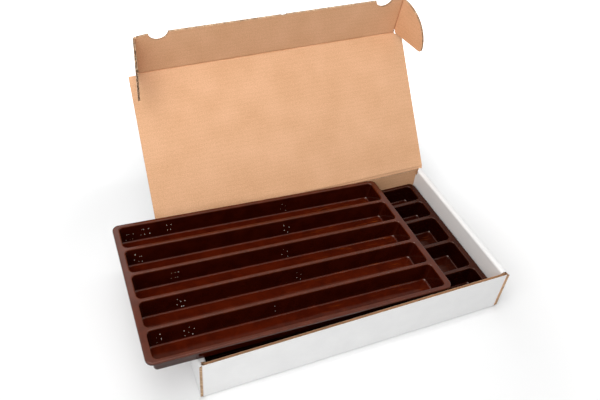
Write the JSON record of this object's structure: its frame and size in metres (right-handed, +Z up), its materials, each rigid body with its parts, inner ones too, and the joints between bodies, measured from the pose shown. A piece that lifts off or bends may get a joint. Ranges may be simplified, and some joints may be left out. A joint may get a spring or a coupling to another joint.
{
  "type": "mailer box",
  "caption": "Open roll-end mailer box of corrugated board with a tuck-flap lid, holding moulded trays with long channels.",
  "frame": {"origin": "middle of the base's underside", "axes": "+Z up, +X along the box, -Y towards the front wall; the lid hinges at +Y"},
  "size_m": [0.4611, 0.329, 0.2909],
  "materials": {
    "white_board": "matt white-lined corrugated board",
    "kraft_board": "matt brown kraft liner inside, white outside",
    "brown_plastic": "glossy dark brown vacuum-formed sheet"
  },
  "bodies": {
    "box": {"base_panel": "kraft_board", "front_wall": "white_board", "back_wall": "kraft_board", "left_outer_wall": "white_board", "left_top_band": "white_board", "left_inner_wall": "white_board", "right_outer_wall": "white_board", "right_top_band": "white_board", "right_inner_wall": "white_board", "front_left_corner_flap": "kraft_board", "front_right_corner_flap": "kraft_board", "back_left_corner_flap": "kraft_board", "back_right_corner_flap": "kraft_board"},
    "lid": {"lid_panel": "kraft_board"},
    "flap": {"tuck_flap": "kraft_board"},
    "left_ear": {"left_ear": "kraft_board"},
    "right_ear": {"right_ear": "kraft_board"},
    "lower_tray": {"lower_tray": "brown_plastic"},
    "upper_tray": {"upper_tray": "brown_plastic"}
  },
  "joints": [
    {"name": "lid_hinge", "type": "hinge", "parent": "box", "child": "lid", "pos_m": [0, 0.1035, 0.0673], "axis": [-1, 0, 0], "range_deg": [-36.1, 53.9]},
    {"name": "tuck_flap_hinge", "type": "hinge", "parent": "lid", "child": "flap", "pos_m": [0, 0.22281, 0.23092], "axis": [1, 0, 0], "range_deg": [-45, 45]},
    {"name": "left_ear_hinge", "type": "hinge", "parent": "flap", "child": "left_ear", "pos_m": [-0.1883, 0.22281, 0.23092], "axis": [0, -0.1547, 0.988], "range_deg": [-82, 8]},
    {"name": "right_ear_hinge", "type": "hinge", "parent": "flap", "child": "right_ear", "pos_m": [0.1883, 0.22281, 0.23092], "axis": [0, 0.1547, -0.988], "range_deg": [-75, 15]},
    {"name": "lower_tray_lift", "type": "slide", "parent": "box", "child": "lower_tray", "axis": [0, 0, 1], "range_m": [0, 0.04]},
    {"name": "upper_tray_lift", "type": "slide", "parent": "lower_tray", "child": "upper_tray", "axis": [0, 0, 1], "range_m": [0, 0.05]}
  ]
}
